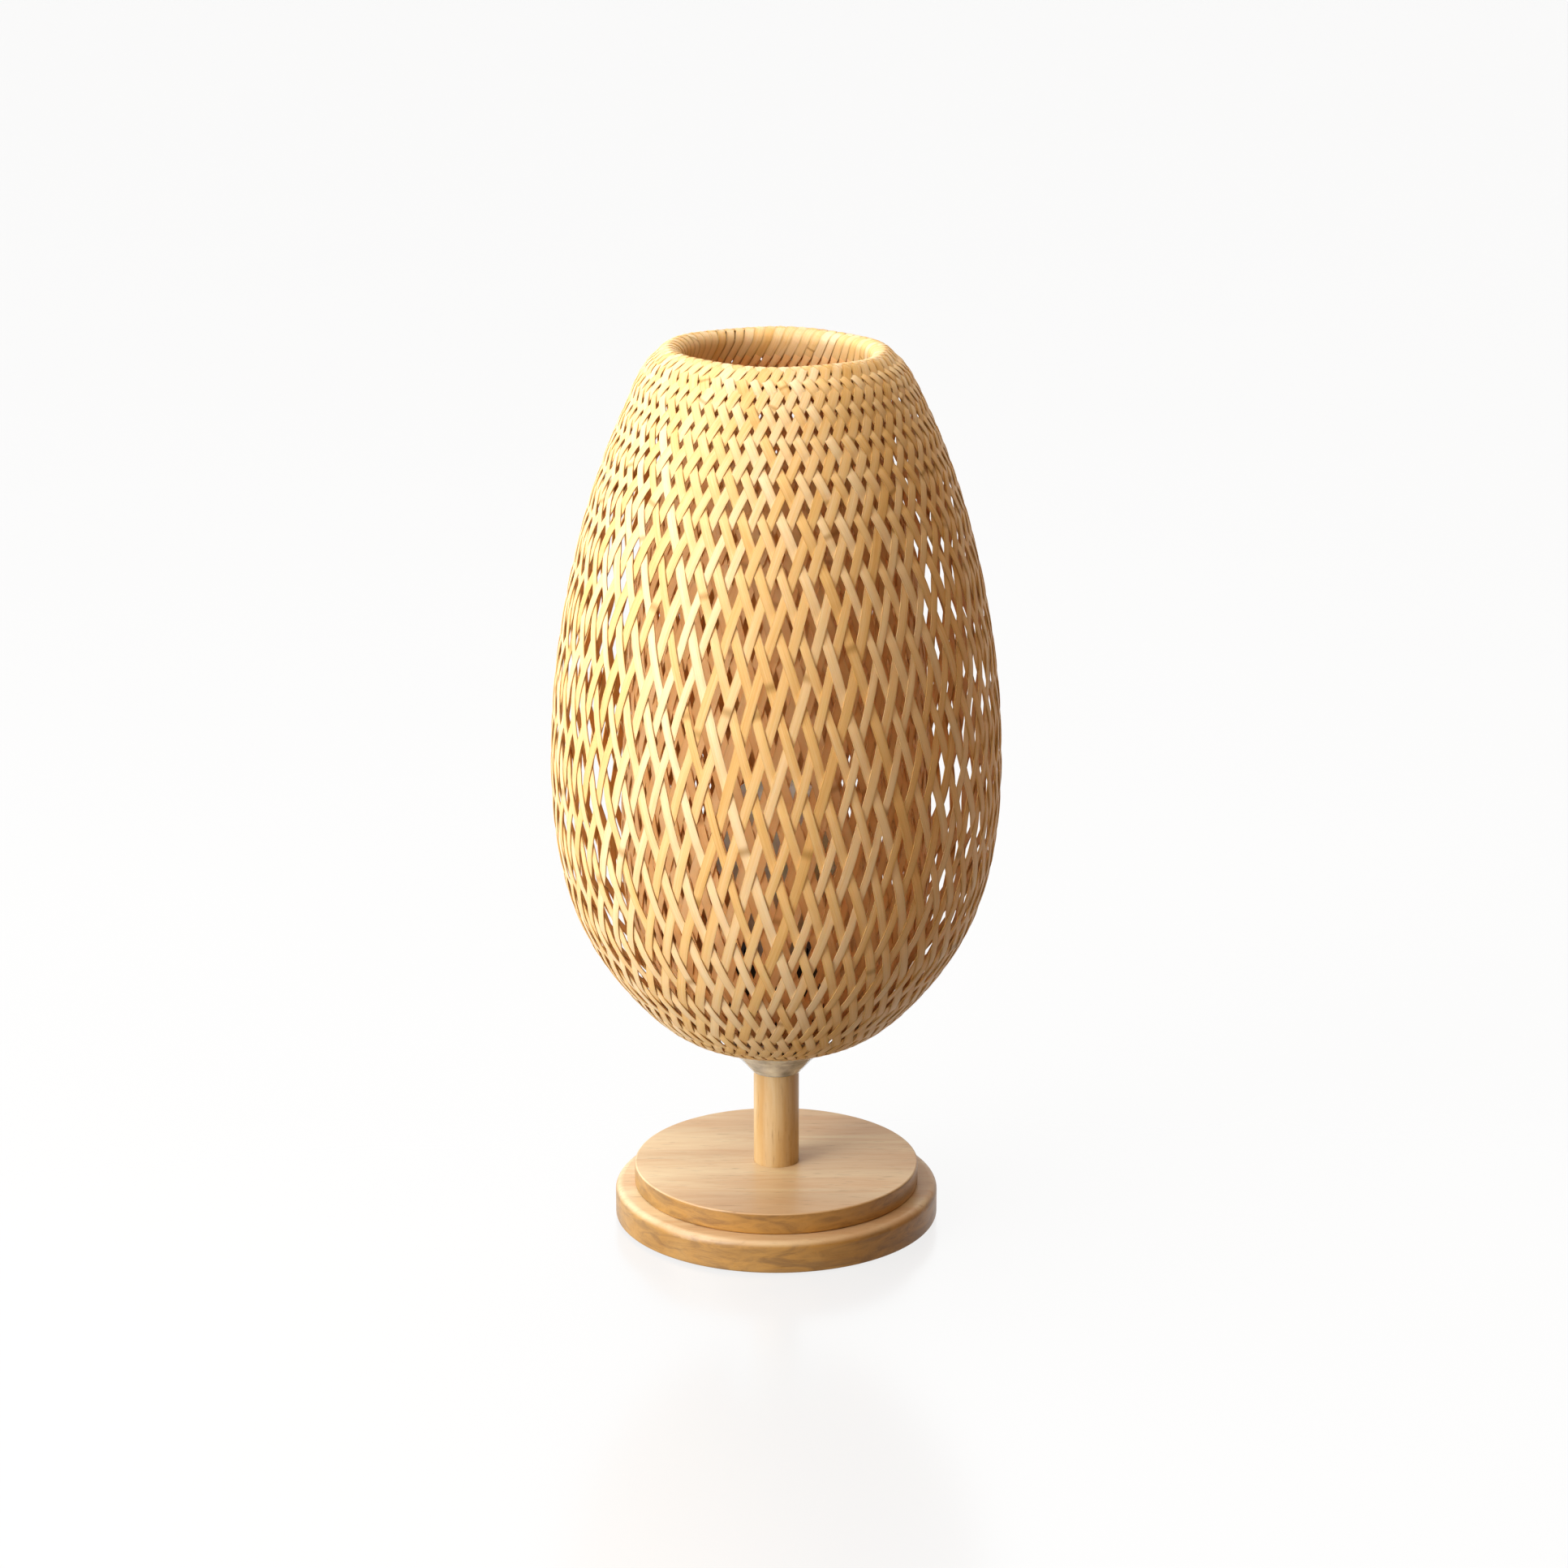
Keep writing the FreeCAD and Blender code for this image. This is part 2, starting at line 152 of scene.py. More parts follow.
# %% Room light
table_glow = 0.80
bpy.context.scene.view_settings.view_transform = "Standard"
bpy.context.scene.view_settings.look = "Medium High Contrast"
world = bpy.data.worlds.new("studio_room")
bpy.context.scene.world = world
world.use_nodes = True
room = Wire(world.node_tree)
sideways, backwards, upwards = room.node("TexCoord", out="Generated").split()
from_left = sideways.ramp(-0.8, 0.7, 1.05, 0.32)
from_above = upwards.ramp(-0.5, 0.1, 0.30, 1.0)
cloth = tint(from_left, (0.95, 0.50, 0.10), (1.0, 0.99, 0.98))
from_behind = backwards.ramp(0.35, 0.85)
plain = room.node("LightPath", out="Is Camera Ray")
even = plain.sum("MAXIMUM", plain, from_behind)
room_colour = tint(even, cloth, (1.0, 1.0, 1.0))
strength = from_left * from_above * (1 - even) + even * table_glow
cloth_shader = world.node_tree.nodes["Background"]
world.node_tree.links.new(room_colour.out, cloth_shader.inputs["Color"])
world.node_tree.links.new(strength.out, cloth_shader.inputs["Strength"])
shade_middle = Vector((0, 0, 0.22))


def soft_panel(name, place, size, power, colour):
    """A square light panel that faces the middle of the shade."""
    bpy.ops.object.light_add(type="AREA", location=place)
    panel = bpy.context.object
    panel.name = name
    panel.data.size, panel.data.energy, panel.data.color = size, power, colour
    panel.rotation_euler = (shade_middle - Vector(place)).to_track_quat("-Z", "Y").to_euler()


soft_panel("panel_left", (-1.65, -1.10, 1.05), 1.4, 36, (1.0, 0.99, 0.98))
soft_panel("panel_top", (-0.5, 0.1, 2.0), 1.1, 15, (1.0, 1.0, 1.0))
soft_panel("panel_low", (-1.20, -0.80, 0.10), 0.45, 4, (1.0, 1.0, 1.0))

# %% [markdown]
# ## Finishes
#
# A finish starts from an empty shader. Values that are the same all over are set on the shader itself,
# and only what changes over the surface is wired.

# %% Starting a finish
finishes = {}


def new_finish(name, **fixed):
    """An empty finish: its wire to start from, and its shader with the fixed values set on it."""
    material = bpy.data.materials.new(name)
    material.use_nodes = True
    shader = material.node_tree.nodes["Principled BSDF"]
    for key, value in fixed.items():
        shader.inputs[key.replace("_", " ")].default_value = value
    finishes[name] = material
    return Wire(material.node_tree), shader


def plug(wire, shader, socket):
    wire.tree.links.new(wire.out, shader.inputs[socket])


def relief(height, shader, depth):
    """Raises the finish by height times depth metres."""
    bump = height.node("Bump", {}, {"Height": height, "Distance": depth, "Strength": 1.0})
    plug(bump, shader, "Normal")


def place_of(start, stretch=(1, 1, 1), turn=(0, 0, 0)):
    """Where a point is on the lamp, in metres, stretched and turned for a pattern."""
    spot = start.node("TexCoord", out="Object")
    return start.node("Mapping", {}, {"Vector": spot, "Scale": stretch, "Rotation": turn})


def noise(spot, scale, detail=3, rough=0.5, warp=0.0):
    return spot.node("TexNoise", {}, {"Vector": spot, "Scale": scale, "Detail": detail,
                                      "Roughness": rough, "Distortion": warp})


print("ready to start a finish")

# %% [markdown]
# The foot is a pale close-grained hardwood under satin varnish. Its grain runs from left to right with a
# slight rise and shows as thin darker and redder streaks. A solid pattern in space, squeezed across the
# grain, gives the long streaks. The discs' turned edges cut across the grain and soak up more varnish,
# and show curls of end grain. Where the surface turns away from level the colour goes over to a deeper
# ochre: partly that end grain, partly painted shade, as the sides get less light than the tops. The stem
# takes a little of the same tone and painted shade, with its grain upright.

# %% Foot wood
broad_share, pore_share = 0.16, 5.5
curl_stretch = (38, 38, 150)


def wood_finish(name, stretch, turn, pale, warm, dark, ring_pull, side_grain_shade_colour, side_grain_shade_dark, side_shade_depth):
    start, shader = new_finish(name, Coat_Roughness=0.22, Coat_IOR=1.5)
    streaks = noise(place_of(start, stretch, turn), 1.0, 6, 0.62, ring_pull)
    broad = noise(place_of(start, tuple(s * broad_share for s in stretch), turn), 1.0, 2, 0.5, 0.6)
    pores = noise(place_of(start, tuple(s * pore_share for s in stretch), turn), 1.0, 2, 0.7)
    base = tint(streaks.ramp(0.36, 0.66, kind="LINEAR"), pale, warm)
    aged = tint(broad.ramp(0.42, 0.72, 0.0, 0.75, "LINEAR"), base, dark)
    lines = pores.ramp(0.60, 0.74, 0.0, 0.42, "LINEAR")
    grained = tint(lines, aged, tuple(c * 0.5 for c in dark))
    facing_up = start.node("NewGeometry", out="Normal").split()[2]
    # painted shade: faces turned away from level go over to the darker ochre, partly end grain, partly
    # shade
    turned = facing_up.ramp(0.9, 0.2, 0.0, side_shade_depth)
    curls = noise(place_of(start, curl_stretch), 1.0, 5, 0.65, 1.4)
    end_grain_and_shade = tint(curls.ramp(0.36, 0.70), side_grain_shade_colour, side_grain_shade_dark)
    plug(tint(turned, grained, end_grain_and_shade), shader, "Base Color")
    plug(0.34 + streaks * 0.16, shader, "Roughness")
    plug(0.22 - lines * 0.2, shader, "Coat Weight")
    relief(streaks * 0.6 - lines, shader, 0.00009)


wood_finish("foot_wood", stretch=(14, 120, 120), turn=(0, 0, math.radians(7)),
            pale=(0.73, 0.58, 0.36), warm=(0.64, 0.43, 0.24), dark=(0.46, 0.27, 0.14), ring_pull=0.9,
            side_grain_shade_colour=(0.40, 0.200, 0.030), side_grain_shade_dark=(0.20, 0.090, 0.008), side_shade_depth=0.85)
wood_finish("stem_wood", stretch=(190, 190, 15), turn=(0, 0, 0),
            pale=(0.68, 0.54, 0.33), warm=(0.58, 0.38, 0.16), dark=(0.30, 0.14, 0.03), ring_pull=0.15,
            side_grain_shade_colour=(0.40, 0.180, 0.020), side_grain_shade_dark=(0.30, 0.120, 0.010), side_shade_depth=0.12)
print("woods:", sorted(finishes))

# %% [markdown]
# The collar is a spun sheet cone. What makes it read as metal is the reflection of foot, stem and room,
# but a full mirror would go dark where the room is dim, so it is a satin finish, half metal, with the
# fine rings that spinning leaves and an uneven haze. The rings follow the height, which on a cone is
# the same as following the lathe. The hidden metal parts share the pattern, fully metallic, and the
# shade's wire has it as paint.

# %% Metals
def metal_finish(name, bright, dull, smooth, rough, ring_scale, ring_depth, metallic=1.0):
    start, shader = new_finish(name, Metallic=metallic)
    haze = noise(place_of(start), 70, 4, 0.6)
    rings = noise(place_of(start, (6, 6, ring_scale)), 1.0, 2, 0.5)
    plug(tint(haze.ramp(0.35, 0.7, kind="LINEAR"), bright, dull), shader, "Base Color")
    plug(smooth + (haze * 0.6 + rings * 0.4) * (rough - smooth), shader, "Roughness")
    relief(rings, shader, ring_depth)


metal_finish("collar_chrome", bright=(0.93, 0.99, 1.00), dull=(0.34, 0.37, 0.38), smooth=0.08, rough=0.24,
             ring_scale=420, ring_depth=0.00040, metallic=0.5)
metal_finish("zinc_steel", (0.62, 0.64, 0.67), (0.50, 0.49, 0.44), 0.25, 0.5, 400, 0.00003)
metal_finish("contact_brass", (0.83, 0.63, 0.28), (0.62, 0.43, 0.18), 0.2, 0.45, 500, 0.00002)
metal_finish("solder", (0.62, 0.63, 0.66), (0.44, 0.45, 0.48), 0.3, 0.55, 300, 0.00006)
metal_finish("fitter_wire", (0.84, 0.83, 0.79), (0.74, 0.72, 0.67), 0.35, 0.55, 900, 0.00004, 0.0)
print("finishes so far:", len(finishes))

# %% [markdown]
# The thread on the bulb's cap is a helix with the standard 3.62 mm pitch. A true helix could be swept as
# geometry, but the cap sits deep in the shade, so here the height runs with the angle round the axis
# and a wave turns that into rounded thread crests.

# %% Rolled thread
thread_pitch, thread_fade = 0.00362, 0.002


def thread_finish(name, bright, dull, depth, low, high):
    start, shader = new_finish(name, Metallic=1.0)
    east, north, up = start.node("TexCoord", out="Object").split()
    round_axis = north.sum("ARCTAN2", north, east)
    crest = (up * (math.tau / thread_pitch) - round_axis).only("SINE")
    on_thread = up.ramp(low, low + thread_fade) * up.ramp(high, high - thread_fade)
    haze = noise(place_of(start), 160, 3, 0.6)
    plug(tint(haze, bright, dull), shader, "Base Color")
    plug(0.18 + haze * 0.25, shader, "Roughness")
    relief(crest * on_thread, shader, depth)


cap_low, cap_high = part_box("bulb_screw_cap")
thread_finish("bulb_cap_metal", (0.78, 0.78, 0.79), (0.60, 0.60, 0.62), 0.0006,
              cap_low.z, cap_high.z - 0.003)
print("thread from", round(cap_low.z, 4), "to", round(cap_high.z, 4))

# %% [markdown]
# The small parts are plastics, glass, porcelain, rubber and felt. Each gets the grain that its mould or
# its fibres leave, because a surface without any grain looks like a drawing when it catches the light.

# %% Small finishes
def grain_finish(name, colour, other, rough, spread, scale, depth, stretch=(1, 1, 1), **fixed):
    start, shader = new_finish(name, **fixed)
    broad = noise(place_of(start), 45, 3, 0.6)
    fine = noise(place_of(start, stretch), scale, 3, 0.6)
    plug(tint(broad * 0.6 + fine * 0.4, colour, other), shader, "Base Color")
    plug(rough + (fine - 0.5) * spread, shader, "Roughness")
    relief(fine, shader, depth)


grain_finish("felt", (0.050, 0.045, 0.040), (0.13, 0.12, 0.10), 0.95, 0.1, 2600, 0.0003,
             Sheen_Weight=0.5)
grain_finish("black_rubber", (0.016, 0.016, 0.017), (0.035, 0.034, 0.033), 0.62, 0.2, 1900, 0.00004)
grain_finish("holder_plastic", (0.020, 0.020, 0.022), (0.042, 0.041, 0.040), 0.42, 0.25, 2400, 0.00003)
grain_finish("porcelain", (0.86, 0.84, 0.79), (0.74, 0.71, 0.65), 0.16, 0.12, 500, 0.00003,
             Coat_Weight=0.4)
grain_finish("black_glass", (0.008, 0.008, 0.010), (0.022, 0.020, 0.024), 0.12, 0.1, 700, 0.00002)
grain_finish("bulb_plastic", (0.86, 0.86, 0.84), (0.76, 0.76, 0.73), 0.30, 0.15, 1600, 0.00002)
grain_finish("opal_globe", (0.93, 0.92, 0.88), (0.86, 0.85, 0.80), 0.20, 0.1, 1200, 0.00001,
             Subsurface_Weight=0.35, Subsurface_Scale=0.01)
grain_finish("board_aluminium", (0.82, 0.83, 0.83), (0.70, 0.71, 0.71), 0.35, 0.2, 1500, 0.00002)
grain_finish("led_phosphor", (0.90, 0.74, 0.16), (0.80, 0.60, 0.10), 0.55, 0.2, 3000, 0.00002)
grain_finish("circuit_board", (0.02, 0.16, 0.06), (0.06, 0.28, 0.12), 0.40, 0.2, 900, 0.00004, (1, 1, 0.2))
grain_finish("rim_cane", (0.52, 0.34, 0.17), (0.34, 0.20, 0.09), 0.5, 0.2, 800, 0.00008, (1, 1, 0.3))
print("finishes so far:", len(finishes))

# %% [markdown]
# Split bamboo is a bundle of straight fibres under a thin waxy skin. Close up, a strip shows fine
# lengthwise streaks, a duller and darker pith along its edges, a knuckle now and then, and each strip
# has its own tone because it came from another part of the cane. The darkening along the edges is
# partly that pith and partly painted shade, where a strip meets the holes and dips under its neighbours.
# A little light passes into the fibres and out again, which softens the shadows between strips. The
# pattern has to bend with the strip, so it reads the strip's own map: metres along it, and 0 to 1 across
# it. The tone of the strip is stored on the mesh as an attribute.

# %% Bamboo
tone_shift = 60
knuckles_per_metre, knuckle_half = 4.2, 0.009


def bamboo_finish(name, pale, honey, brown):
    start, shader = new_finish(name, Coat_Roughness=0.3, Specular_IOR_Level=0.2, Subsurface_Weight=0.3,
                               Subsurface_Scale=0.0010, Subsurface_Radius=(1.0, 0.6, 0.3))
    chart = start.node("UVMap", {"uv_map": "strip"})
    tone = start.node("Attribute", {"attribute_name": "tone"}, out="Fac")
    along, across = chart.split()[:2]

    def laid(along_scale, across_scale):
        return along.node("CombineXYZ", {}, {0: along * along_scale, 1: across * across_scale,
                                             2: tone * tone_shift})

    fibre = noise(laid(28, 9), 1.0, 4, 0.65)
    fine = noise(laid(90, 34), 1.0, 2, 0.6)
    blotch = noise(laid(22, 0.7), 1.0, 2, 0.5)
    own = tone * 0.24 + blotch * 0.38 + fibre * 0.45
    colour = own.node("ValToRGB", {"stops": [(0.30, pale), (0.62, honey), (0.95, brown)]}, {0: own})
    # pith and painted shade: the strip darkens towards both edges
    edge_pith_and_shade = (abs(across - 0.5) * 2) ** 5
    along_cane = (along * knuckles_per_metre + tone * 7).only("FRACT")
    knuckle = abs(along_cane - 0.5).ramp(knuckle_half, 0.0)
    pith_and_shade_edged = tint(edge_pith_and_shade * 0.35, colour, tuple(c * 0.42 for c in brown))
    lined = tint(fine.ramp(0.55, 0.8, 0.0, 0.3, "LINEAR"), pith_and_shade_edged, brown)
    plug(tint(knuckle * 0.55, lined, tuple(c * 0.5 for c in brown)), shader, "Base Color")
    plug(0.36 + fibre * 0.22 + edge_pith_and_shade * 0.2, shader, "Roughness")
    plug(0.12 - edge_pith_and_shade * 0.12, shader, "Coat Weight")
    relief(fibre * 0.7 + fine * 0.3 + knuckle * 0.5, shader, 0.00010)


bamboo_finish("bamboo_outer", (0.87, 0.68, 0.45), (0.79, 0.52, 0.23), (0.60, 0.31, 0.05))
# painted light: the inner layer is the same bamboo in a brighter, warmer colour, standing in for the light
# that reaches inside the shade through the holes
bamboo_finish("bamboo_inner", (0.97, 0.68, 0.40), (0.95, 0.59, 0.28), (0.84, 0.43, 0.14))
print("bamboo ready, finishes:", len(finishes))

# %% [markdown]
# Under the strips that turn over the lip lies a smooth ring. Little of it shows, between the strips, so
# its finish only carries their slanting lines on. They are counted by the angle round the axis, because
# a ring in the frame has no map of its own.

# %% Lip
def lip_finish(name, pale, brown, lines_round, lean):
    start, shader = new_finish(name, Specular_IOR_Level=0.2)
    east, north, up = start.node("TexCoord", out="Object").split()
    turned = north.sum("ARCTAN2", north, east) * lines_round + up * lean
    rib = turned.only("SINE") * 0.5 + 0.5
    fibre = noise(place_of(start), 900, 4, 0.65)
    plug(tint(rib * 0.55 + fibre * 0.45, brown, pale), shader, "Base Color")
    plug(0.5 + fibre * 0.2, shader, "Roughness")
    relief(rib + fibre * 0.2, shader, 0.0003)


lip_finish("bamboo_rim", pale=(0.80, 0.55, 0.25), brown=(0.46, 0.24, 0.07), lines_round=60, lean=700)
print("lip ready, finishes:", len(finishes))

# %% [markdown]
# Every node of the frame gets the finish that its record names.

# %% Put the finishes on the frame
for name, node in nodes.items():
    wanted = next(p["material_slot"] for p in frame["record"]["subparts"] if p["node"] == name)
    node.data.materials.clear()
    node.data.materials.append(finishes[wanted])
print("dressed nodes:", len(nodes))

# %% [markdown]
# ## The shade
#
# The shade is woven from split bamboo that runs in two slanting directions, sixty strips each way, over
# and under in turn. At the mouth the strips turn over a small lip and go down again inside as the second
# layer. The frame has two smooth walls in its place. A wall with a picture of a weave on it would be
# quick, but the light has to pass through the holes and show the inner layer, so the strips are real.
#
# The first step is the line that a strip follows from the foot, over the lip and down inside. Rays
# shot at the frame's own walls find it, so the weave keeps to the frame whatever its size.

# %% The line from foot to lip to inner foot
def wall(name):
    """A search tree for the surface of one node of the frame."""
    mesh = nodes[name].data
    return BVHTree.FromPolygons([v.co.copy() for v in mesh.vertices],
                                [list(p.vertices) for p in mesh.polygons])


# the plane the rays lie in, in radians round the axis, a little off the walls' own seam
off_seam = 0.013
far_out = 0.5


def line_of(tree, radius, height, degrees, inward):
    """Radius and height where rays from one point in a plane through the axis meet the wall."""
    round_x, round_y = math.cos(off_seam), math.sin(off_seam)
    middle = Vector((radius * round_x, radius * round_y, height))
    found = []
    for angle in np.radians(degrees):
        way = Vector((math.cos(angle) * round_x, math.cos(angle) * round_y, math.sin(angle)))
        if inward:
            spot = tree.ray_cast(middle + way * far_out, -way)[0]
        else:
            spot = tree.ray_cast(middle, way)[0]
        if spot is not None:
            found.append((math.hypot(spot.x, spot.y), spot.z))
    return np.array(found)


core_low, core_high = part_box("rim_core")
lip_height = (core_low.z + core_high.z) / 2
lip_radius = core_high.x - (core_high.z - core_low.z) / 2
belly = 0.215
outside = line_of(wall("shade_outer"), 0, belly, np.linspace(-78.2, 73.5, 240), True)
over = line_of(wall("shade_rim"), lip_radius, lip_height, np.linspace(40, 175, 40), True)
inside = line_of(wall("shade_inner"), 0, belly, np.linspace(75.5, -74, 200), False)
print("outside", outside[[0, -1]].round(4).tolist(), "lip", over[[0, -1]].round(4).tolist(),
      "inside", inside[[0, -1]].round(4).tolist(), "lip centre", round(lip_radius, 4), round(lip_height, 4))

# %% [markdown]
# The three stretches are joined into one line and sampled evenly. A strip that slants across the shade
# turns round the axis as it climbs. Its slant is nearly constant on the belly, about 73 degrees from
# level, and it lies flatter near the lip, about 64 degrees. Adding up the turn along the line also tells
# where strips cross: wherever the turn grows by half the spacing between strips.

# %% The meridian and the turn along it
strips_round = 60
line_points, smoothing = 3000, 9
spacing = math.tau / strips_round
joined = np.vstack([outside, over, inside])
steps = np.hypot(*np.diff(joined, axis=0).T)
length = np.concatenate([[0], np.cumsum(steps)])
run = np.linspace(0, length[-1], line_points)
meridian = np.column_stack([np.interp(run, length, joined[:, i]) for i in (0, 1)])


def smoothed(values, width):
    """A running mean that keeps the two ends where they are."""
    half_width = width // 2
    padded = np.concatenate([2 * values[0] - values[half_width:0:-1], values,
                             2 * values[-1] - values[-2:-half_width - 2:-1]])
    return np.convolve(padded, np.ones(width) / width, "valid")


meridian = np.column_stack([smoothed(smoothed(meridian[:, i], smoothing), smoothing) for i in (0, 1)])
steps = np.hypot(*np.diff(meridian, axis=0).T)
run = np.concatenate([[0], np.cumsum(steps)])
climb = np.gradient(meridian, run, axis=0)
climb /= np.hypot(*climb.T)[:, None]
outward = np.column_stack([climb[:, 1], -climb[:, 0]])
crest = int(meridian[:, 1].argmax())
lip_run = run[crest]


def ease(values, start, end):
    """0 before start, 1 after end, and a smooth step between."""
    share = np.clip((values - start) / (end - start), 0, 1)
    return share * share * (3 - 2 * share)


is_inside = ease(run, lip_run - 0.002, lip_run + 0.006)
height_of = meridian[:, 1]
belly_slant, lip_slant_more, inner_slant_more = 0.29, 0.19, 0.08
slant = belly_slant + lip_slant_more * ease(height_of, 0.290, 0.395)
slant = slant + is_inside * inner_slant_more * ease(height_of, 0.36, 0.40)
turn = np.concatenate([[0], np.cumsum((slant / meridian[:, 0])[:-1] * np.diff(run))])
rows = turn * strips_round / math.pi
print("line length in m:", round(run[-1], 4), "lip at", round(lip_run, 4),
      "rows of crossings outside and inside:", round(rows[crest], 1), round(rows[-1] - rows[crest], 1))

# %% [markdown]
# One strip is a long narrow grid, three points wide. Each of its points is moved to its place on the
# line: along by its step, across by the strip's half width, out by the height of the weave. The height
# is a wave that is up at one crossing and down at the next, and the other direction takes the opposite
# wave, so that each strip goes over and under in turn. A curve with a bevel could follow the same line,
# but it can't grow narrower where the shade closes in, and it would twist over the lip.
#
# Hand work is never even. A slow wander to the left and right, a width of its own and a tone of its own
# make each strip different. The random numbers start from a fixed seed.
#
# The lists below hold, for each point of the line, how much of its space a strip fills, how far it sits
# from the wall, how loosely it may wander, and how strongly the lip acts on it: over the lip the strips
# lie close together, and just inside it one slant stands proud of the other instead of weaving.

# %% One strip
strip_width, strip_thickness, weave_rise, strip_crown = 0.0040, 0.00045, 0.00034, 0.00014
rib_rise, wander_most, belly_radius = 0.0006, 0.0010, 0.095
wave_flatness, steps_per_row = 2.0, 6
wander_shares = np.array([0.5, 0.3, 0.2])
hand = np.random.default_rng(7)


def at(values, place):
    return np.interp(place, run, values)


near_lip = ease(height_of, 0.330, 0.375) * (1 - ease(height_of, 0.392, 0.403))
over_lip = ease(height_of, 0.394, 0.401)
lip_zone = ease(height_of, 0.380, 0.402)
filling = (0.88 - 0.22 * near_lip - is_inside * 0.04) * (1 - over_lip) + 0.97 * over_lip
seat = (-0.00055 + 0.0008 * ease(run, lip_run - 0.010, lip_run)
        - 0.00105 * ease(run, lip_run + 0.004, lip_run + 0.020))
loose = np.clip(meridian[:, 0] / belly_radius, 0, 1) ** 4
ribs = is_inside * (1 - ease(-height_of, -0.398, -0.384))


def uneven_lip(theta):
    """How far the hand-turned lip stands proud, in metres: most at the left."""
    return 0.0007 * (1 - np.cos(theta)) + 0.0003 * (1 + np.sin(5 * theta + 0.6))


def lay_strip(grid, number, way, first, last, count):
    """Lays a flat grid along the shade: way is 1 for one slant and -1 for the other."""
    wanted = np.linspace(at(rows, first), at(rows, last), count)
    place = np.interp(wanted, rows, run)
    width = strip_width * hand.uniform(0.86, 1.12)
    phase, waves = hand.uniform(0, math.tau, 3), hand.uniform(14, 60, 3)
    wander = np.sin(place[:, None] * waves + phase) @ wander_shares * wander_most
    radius = at(meridian[:, 0], place)
    lean = at(slant, place)
    flat = 1 / np.sqrt(1 + lean ** 2)
    wide = np.minimum(width, at(filling, place) * spacing * radius * flat)
    angle = number * spacing + way * at(turn, place) + wander * at(loose, place) / radius
    wave = np.tanh(wave_flatness * np.cos(math.pi * wanted)) / math.tanh(wave_flatness)
    rib = at(ribs, place)
    height = way * weave_rise * wave * (1 - rib) + rib * way * rib_rise
    spots = np.empty((count, 3, 3))
    for column, side in enumerate((-1, 0, 1)):
        sideways = side * wide / 2 * flat
        moved = place - way * sideways * lean
        r, z = at(meridian[:, 0], moved), at(meridian[:, 1], moved)
        out_r, out_z = at(outward[:, 0], moved), at(outward[:, 1], moved)
        theta = angle + sideways / r
        up = (at(seat, moved) + height + strip_crown * (1 - side * side)
              + at(lip_zone, moved) * uneven_lip(theta))
        out = r + out_r * up
        spots[:, column] = np.column_stack([out * np.cos(theta), out * np.sin(theta), z + out_z * up])
    grid.data.vertices.foreach_set("co", spots.transpose(1, 0, 2).reshape(-1).astype(np.float32))
    chart = grid.data.uv_layers.active
    chart.name = "strip"
    flat_chart = np.empty(len(grid.data.loops) * 2, np.float32)
    chart.data.foreach_get("uv", flat_chart)
    flat_chart[0::2] = first + flat_chart[0::2] * (last - first)
    chart.data.foreach_set("uv", flat_chart)
    tone = grid.data.attributes.new("tone", "FLOAT", "POINT")
    tone.data.foreach_set("value", np.full(len(grid.data.vertices), hand.uniform(), np.float32))
    grid.data.update()


def deselect():
    for o in bpy.context.selected_objects:
        o.select_set(False)


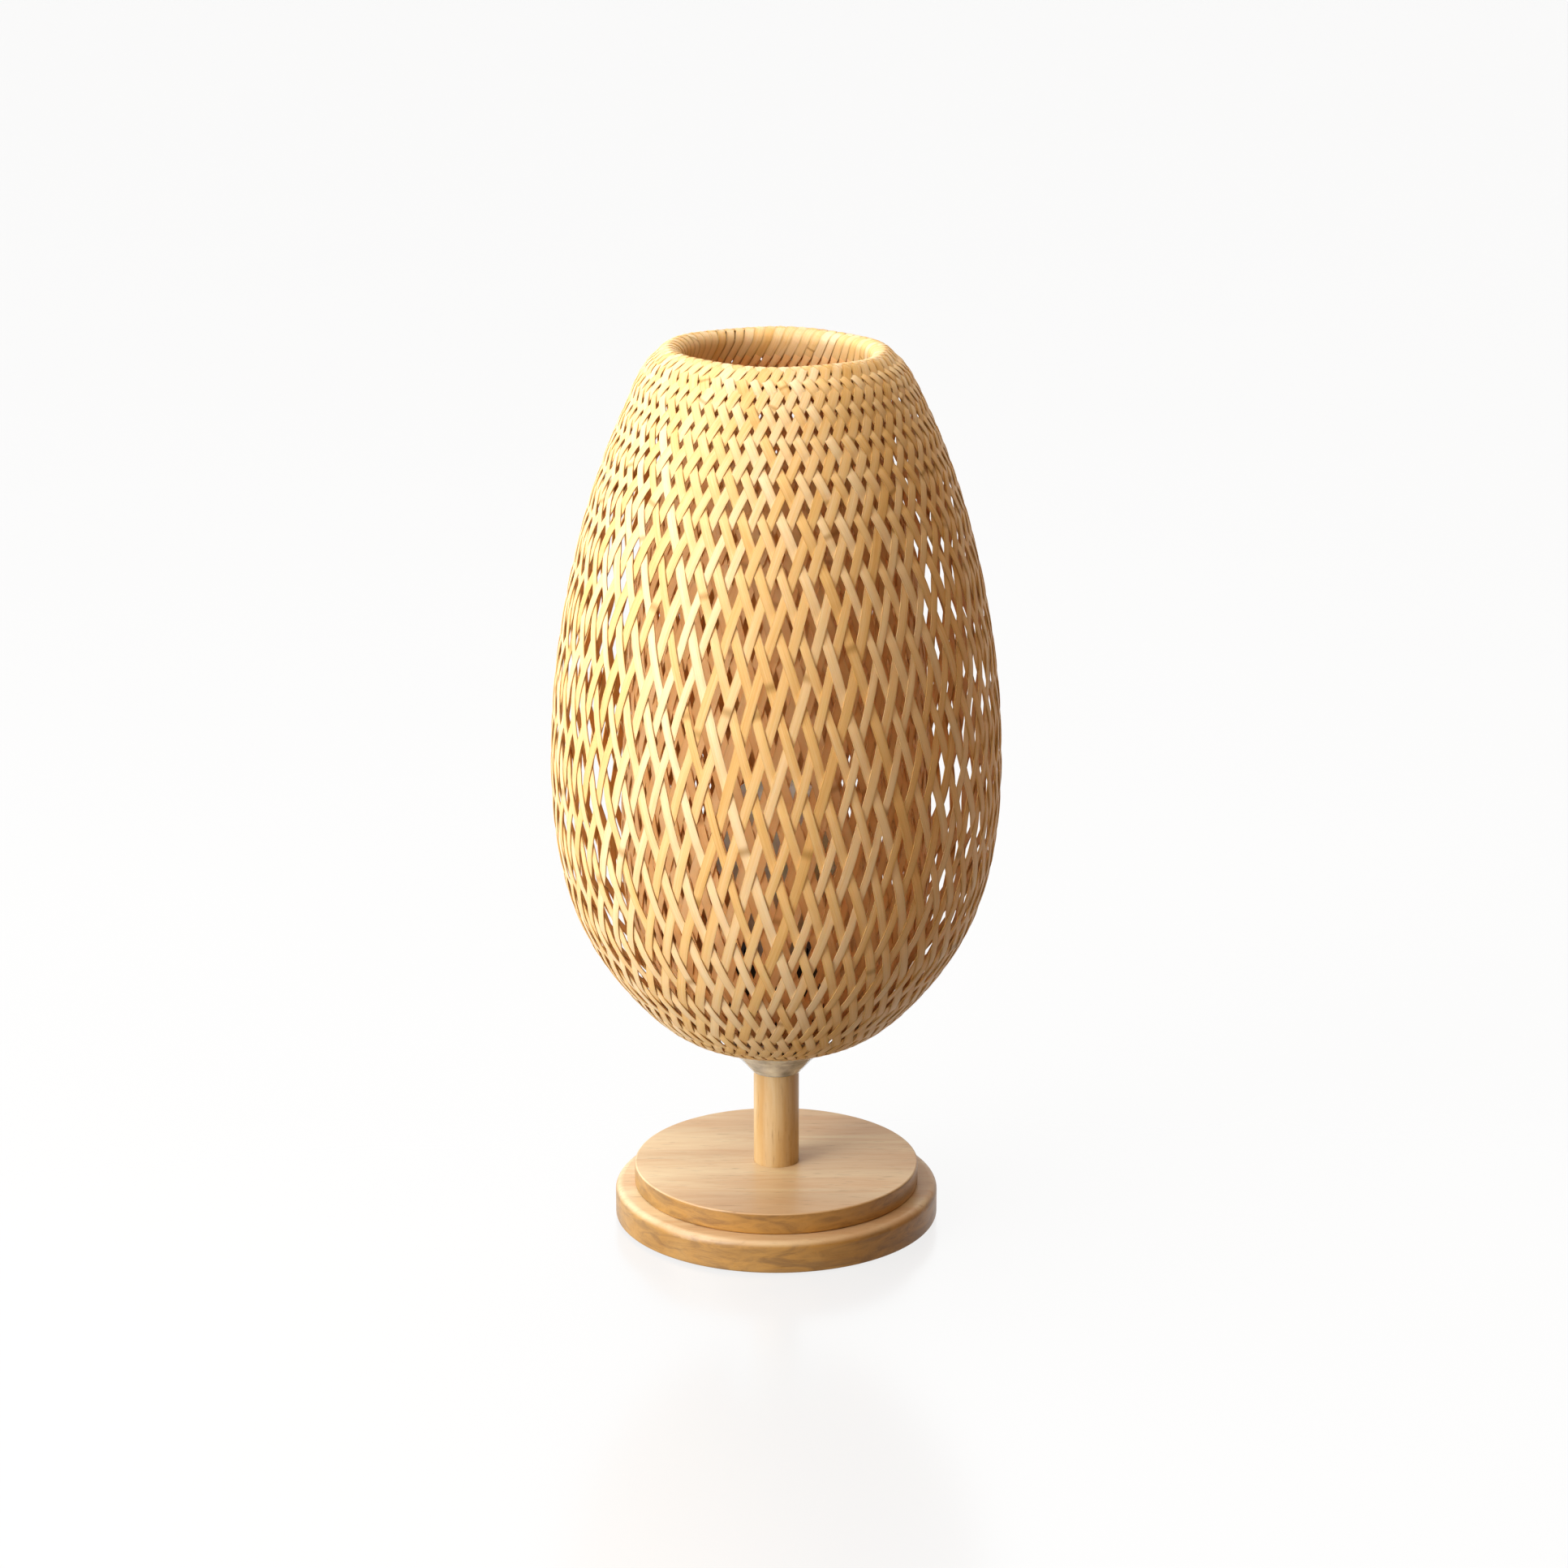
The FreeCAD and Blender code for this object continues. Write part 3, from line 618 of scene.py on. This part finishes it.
def weave(name, way, first, last):
    """All strips of one slant between two places on the line, as one piece."""
    count = int((at(rows, last) - at(rows, first)) * steps_per_row) + 1
    laid = []
    for number in range(strips_round):
        deselect()
        bpy.ops.mesh.primitive_grid_add(x_subdivisions=count - 1, y_subdivisions=2, size=1)
        strip = bpy.context.object
        lay_strip(strip, number, way, first, last, count)
        laid.append(strip)
    deselect()
    for strip in laid:
        strip.select_set(True)
    bpy.context.view_layer.objects.active = laid[0]
    bpy.ops.object.join()
    piece = bpy.context.object
    piece.name = piece.data.name = name
    thick = piece.modifiers.new("thickness", "SOLIDIFY")
    thick.thickness, thick.offset = strip_thickness, -1
    bpy.ops.object.modifier_apply(modifier=thick.name)
    bpy.ops.object.shade_smooth_by_angle(angle=math.radians(40))
    piece.data.calc_loop_triangles()
    print(name, "triangles:", len(piece.data.loop_triangles))
    return piece


turn_in = lip_run + 0.012
layers = {
    "outer_strips_right": (1, 0.0004, turn_in, "shade_outer", "bamboo_outer"),
    "outer_strips_left": (-1, 0.0004, lip_run + 0.002, "shade_outer", "bamboo_outer"),
    "inner_strips_right": (1, turn_in, run[-1] - 0.0004, "shade_inner", "bamboo_inner"),
    "inner_strips_left": (-1, lip_run + 0.004, run[-1] - 0.0004, "shade_inner", "bamboo_inner"),
}
for name, (way, first, last, node, finish) in layers.items():
    piece = weave(name, way, first, last)
    piece.data.materials.clear()
    piece.data.materials.append(finishes[finish])
    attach(piece, "root")
    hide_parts(node)

# %% [markdown]
# The table is one large pale sheet with a trace of gloss, which gives the faint mirror image under the
# foot. It glows by itself, as a lit table does, and the gloss takes from that glow as much as the white
# room behind gives back, so that it stays even to the horizon. It gives no light to the lamp, whose
# lower edges stay dark. It isn't part of the lamp, so it is stage.

# %% Table
cloth_light = 0.03
start, shader = new_finish("table_top", Roughness=0.9, Emission_Strength=table_glow - cloth_light,
                           Specular_IOR_Level=0.0)
shader.inputs["Emission Color"].default_value = (1, 1, 1, 1)
cloud = noise(place_of(start), 3, 3)
plug(tint(cloud, (0.055, 0.055, 0.055), (0.045, 0.045, 0.045)), shader, "Base Color")
gloss = start.node("BsdfAnisotropic", {}, {"Color": (1, 1, 1, 1), "Roughness": 0.2})
shine = start.node("Fresnel", {}, {"IOR": 1.4})
mixed = start.node("MixShader", {}, {0: shine, 1: Wire(start.tree, shader.outputs[0]), 2: gloss})
start.tree.links.new(mixed.out, start.tree.nodes["Material Output"].inputs["Surface"])
deselect()
bpy.ops.mesh.primitive_grid_add(x_subdivisions=4, y_subdivisions=4, size=30)
table_top = bpy.context.object
table_top.name = "table_top"
table_top.data.materials.append(finishes["table_top"])
table_top.visible_diffuse = False
print("table ready")
